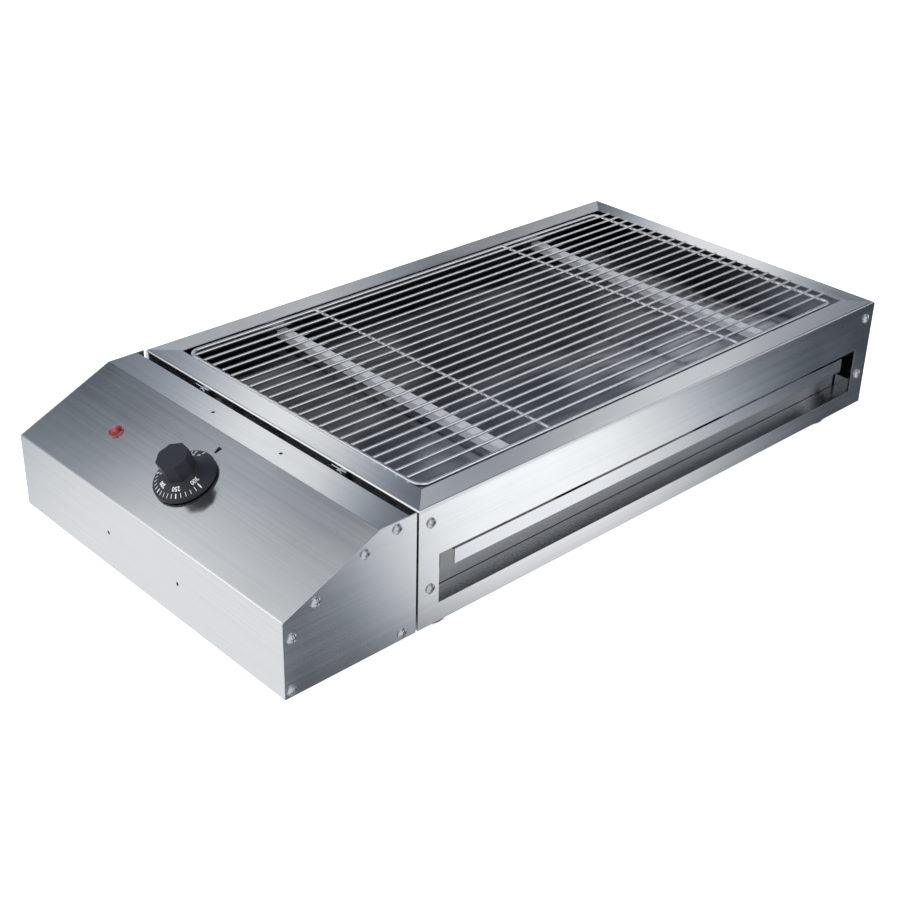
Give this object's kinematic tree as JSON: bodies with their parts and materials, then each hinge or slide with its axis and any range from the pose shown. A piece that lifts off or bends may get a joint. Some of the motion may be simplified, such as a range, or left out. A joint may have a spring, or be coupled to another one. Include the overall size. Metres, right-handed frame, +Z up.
{
  "type": "electric barbecue grill",
  "caption": "Low countertop electric grill: stainless body with a lift-out wire grate over a shiny pan, a pull-out drip tray, and a sloping end box with a thermostat knob and lamp.",
  "frame": {"origin": "on the ground under the middle of the whole grill, at the bottom centre of its bounding box", "axes": "+X from the control box to the far end, along the grill's length; the tray opens towards -Y; +Z up"},
  "size_m": [0.673, 0.3444, 0.1276],
  "materials": {
    "brushed_stainless": "brushed, satin",
    "tray_stainless": "satin",
    "mirror_stainless": "polished, mirror-like",
    "grate_chrome": "bright plated wire",
    "screw_steel": "bright",
    "zinc_steel": "zinc plated",
    "foot_steel": "satin",
    "element_sheath": "heat-darkened",
    "black_rubber": "matt",
    "black_plastic": "satin",
    "red_lens": "translucent gloss",
    "white_plastic": "matt",
    "brass_parts": "plain",
    "copper_tube": "plain copper",
    "wire_insulation": "matt silicone"
  },
  "bodies": {
    "grill_body": {"front_panel": "brushed_stainless", "back_panel": "brushed_stainless", "left_end_panel": "brushed_stainless", "right_end_panel": "brushed_stainless", "base_plate": "brushed_stainless", "control_cover": "brushed_stainless", "control_front_side": "brushed_stainless", "control_back_side": "brushed_stainless", "control_back_plate": "brushed_stainless", "control_base": "brushed_stainless", "tray_rails": "brushed_stainless", "inner_pan": "mirror_stainless", "cross_supports": "mirror_stainless", "grate_rests": "mirror_stainless", "body_screws": "screw_steel", "control_screws": "screw_steel", "link_screws": "screw_steel", "link_spacers": "screw_steel", "link_nuts": "screw_steel", "element_nuts": "screw_steel", "clamp_bars": "zinc_steel", "clamp_studs": "zinc_steel", "clamp_nuts": "zinc_steel", "foot_screws": "zinc_steel", "foot_nuts": "zinc_steel", "lamp_clip": "zinc_steel", "foot_cups": "foot_steel", "heating_elements": "element_sheath", "foot_pads": "black_rubber", "cord_inlet": "black_rubber", "pointer_mark": "black_plastic", "lamp_lens": "red_lens", "thermostat_body": "white_plastic", "terminal_block": "white_plastic", "lamp_body": "white_plastic", "thermostat_nut": "brass_parts", "spade_terminals": "brass_parts", "terminal_screws": "brass_parts", "earth_screw": "brass_parts", "earth_nuts": "brass_parts", "sensing_bulb": "copper_tube", "capillary_tube": "copper_tube", "wiring": "wire_insulation"},
    "knob": {"knob": "black_plastic", "thermostat_shaft": "zinc_steel"},
    "drip_tray": {"drip_tray": "tray_stainless"},
    "grate": {"grate_frame": "grate_chrome", "grate_bars": "grate_chrome", "grate_cross_rods": "grate_chrome"}
  },
  "joints": [
    {"name": "knob_turn", "type": "hinge", "parent": "grill_body", "child": "knob", "pos_m": [-0.29415, 0, 0.09905], "axis": [0.4084, 0, -0.9128], "range_deg": [0, 270]},
    {"name": "tray_slide", "type": "slide", "parent": "grill_body", "child": "drip_tray", "axis": [0, -1, 0], "range_m": [0, 0.29]},
    {"name": "grate_lift", "type": "slide", "parent": "grill_body", "child": "grate", "axis": [0, 0, 1], "range_m": [0, 0.12]}
  ]
}
